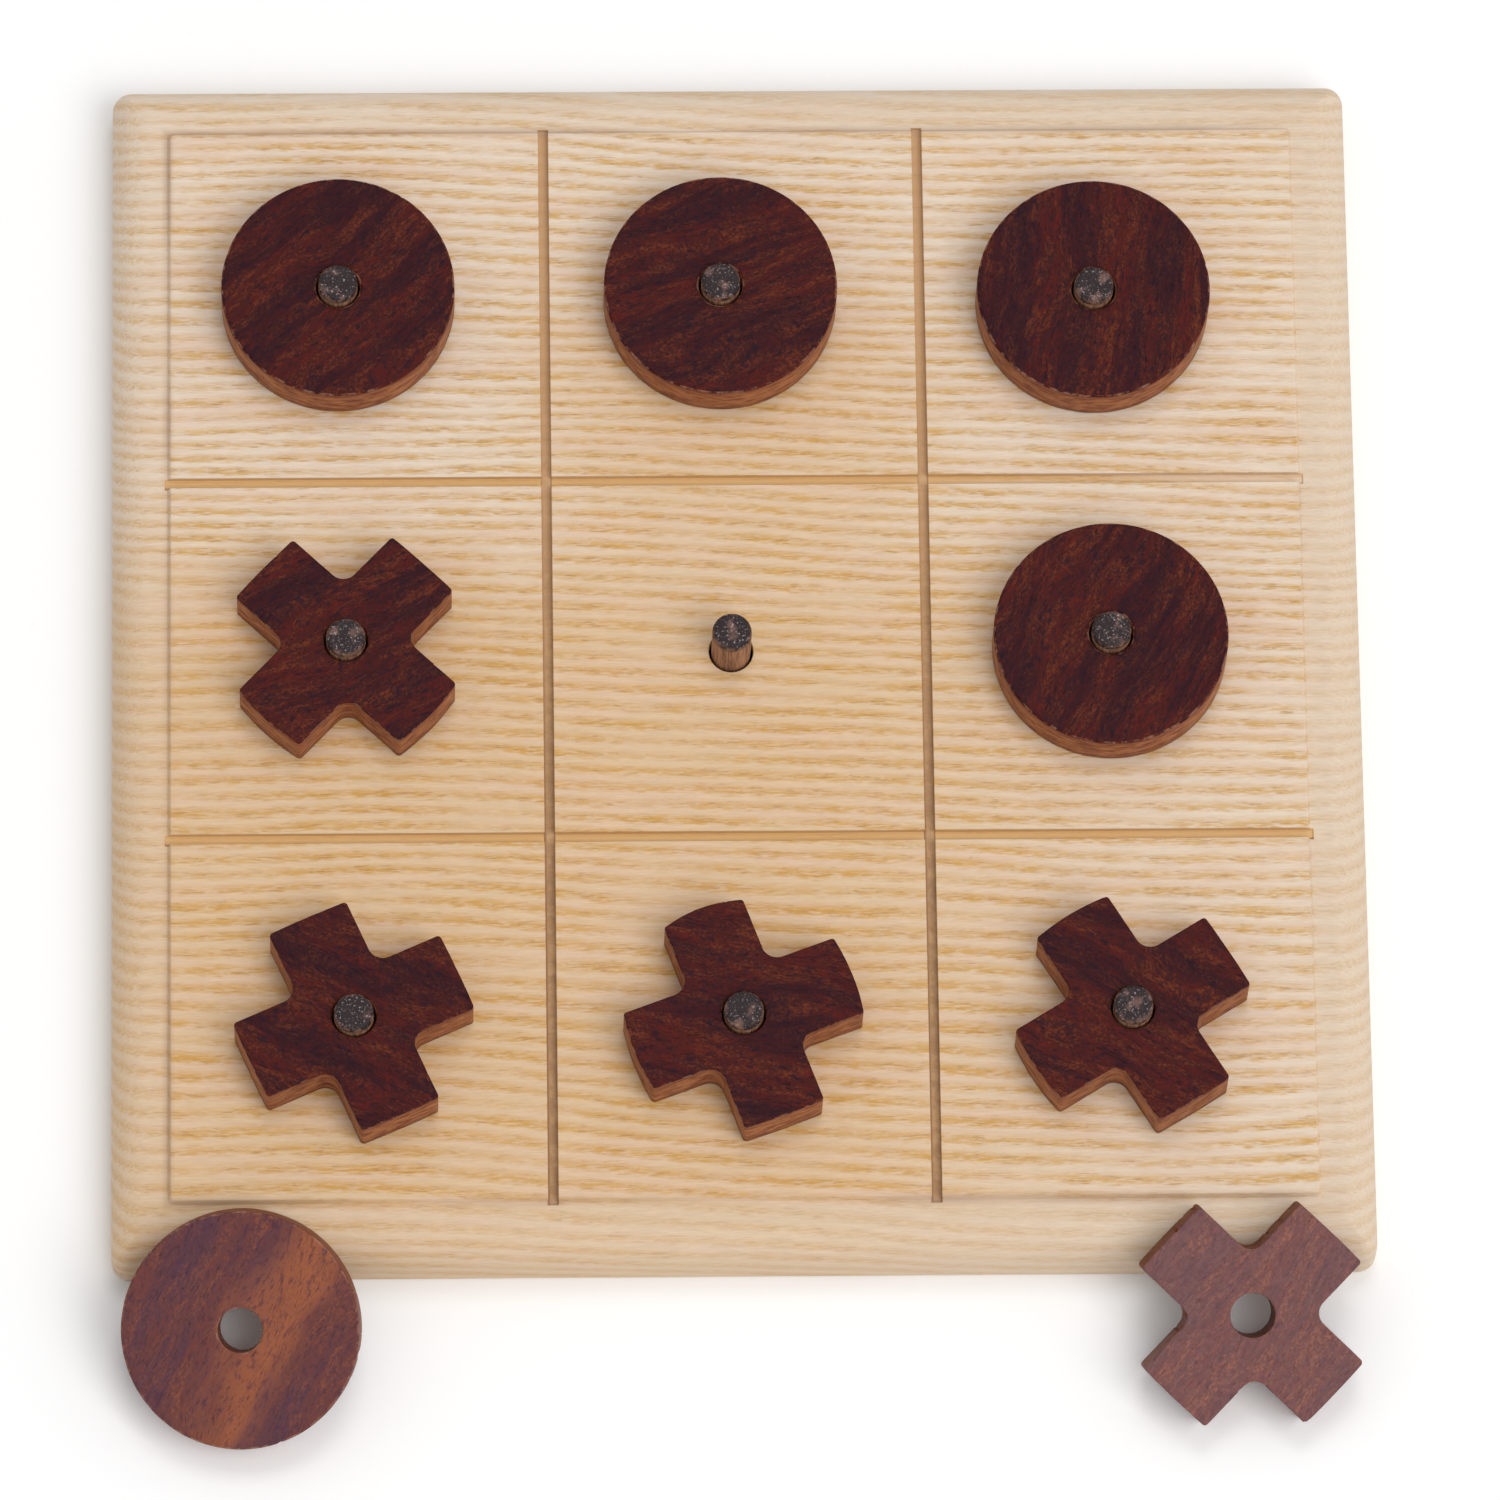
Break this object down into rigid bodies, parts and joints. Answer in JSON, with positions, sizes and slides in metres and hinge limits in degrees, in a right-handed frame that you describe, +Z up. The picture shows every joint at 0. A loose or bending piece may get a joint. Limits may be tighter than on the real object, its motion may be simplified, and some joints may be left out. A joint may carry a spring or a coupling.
{
  "type": "tic tac toe set",
  "caption": "Square wooden noughts and crosses board with a peg in each cell, and ring and cross tokens that drop over the pegs.",
  "frame": {"origin": "middle of the board's underside, on the table", "axes": "+Z up out of the playing field, +X to the player's right, +Y away from the player"},
  "size_m": [0.2, 0.2297, 0.022],
  "materials": {
    "ash": "oiled, satin",
    "peg_wood": "dark stain, sanded heads",
    "rosewood": "waxed, satin"
  },
  "bodies": {
    "board": {"board": "ash", "peg_top_left": "peg_wood", "peg_top_middle": "peg_wood", "peg_top_right": "peg_wood", "peg_middle_left": "peg_wood", "peg_centre": "peg_wood", "peg_middle_right": "peg_wood", "peg_bottom_left": "peg_wood", "peg_bottom_middle": "peg_wood", "peg_bottom_right": "peg_wood"},
    "nought_top_left": {"nought_top_left": "rosewood"},
    "nought_top_middle": {"nought_top_middle": "rosewood"},
    "nought_top_right": {"nought_top_right": "rosewood"},
    "nought_middle_right": {"nought_middle_right": "rosewood"},
    "nought_spare": {"nought_spare": "rosewood"},
    "cross_middle_left": {"cross_middle_left": "rosewood"},
    "cross_bottom_left": {"cross_bottom_left": "rosewood"},
    "cross_bottom_middle": {"cross_bottom_middle": "rosewood"},
    "cross_bottom_right": {"cross_bottom_right": "rosewood"},
    "cross_spare": {"cross_spare": "rosewood"}
  },
  "joints": [
    {"name": "nought_top_left_lift", "type": "slide", "parent": "board", "child": "nought_top_left", "axis": [0, 0, 1], "range_m": [0, 0.03]},
    {"name": "nought_top_middle_lift", "type": "slide", "parent": "board", "child": "nought_top_middle", "axis": [0, 0, 1], "range_m": [0, 0.03]},
    {"name": "nought_top_right_lift", "type": "slide", "parent": "board", "child": "nought_top_right", "axis": [0, 0, 1], "range_m": [0, 0.03]},
    {"name": "nought_middle_right_lift", "type": "slide", "parent": "board", "child": "nought_middle_right", "axis": [0, 0, 1], "range_m": [0, 0.03]},
    {"name": "nought_spare_lift", "type": "slide", "parent": "board", "child": "nought_spare", "axis": [0, 0, 1], "range_m": [0, 0.03]},
    {"name": "cross_middle_left_lift", "type": "slide", "parent": "board", "child": "cross_middle_left", "axis": [0, 0, 1], "range_m": [0, 0.03]},
    {"name": "cross_bottom_left_lift", "type": "slide", "parent": "board", "child": "cross_bottom_left", "axis": [0, 0, 1], "range_m": [0, 0.03]},
    {"name": "cross_bottom_middle_lift", "type": "slide", "parent": "board", "child": "cross_bottom_middle", "axis": [0, 0, 1], "range_m": [0, 0.03]},
    {"name": "cross_bottom_right_lift", "type": "slide", "parent": "board", "child": "cross_bottom_right", "axis": [0, 0, 1], "range_m": [0, 0.03]},
    {"name": "cross_spare_lift", "type": "slide", "parent": "board", "child": "cross_spare", "axis": [0, 0, 1], "range_m": [0, 0.03]}
  ]
}
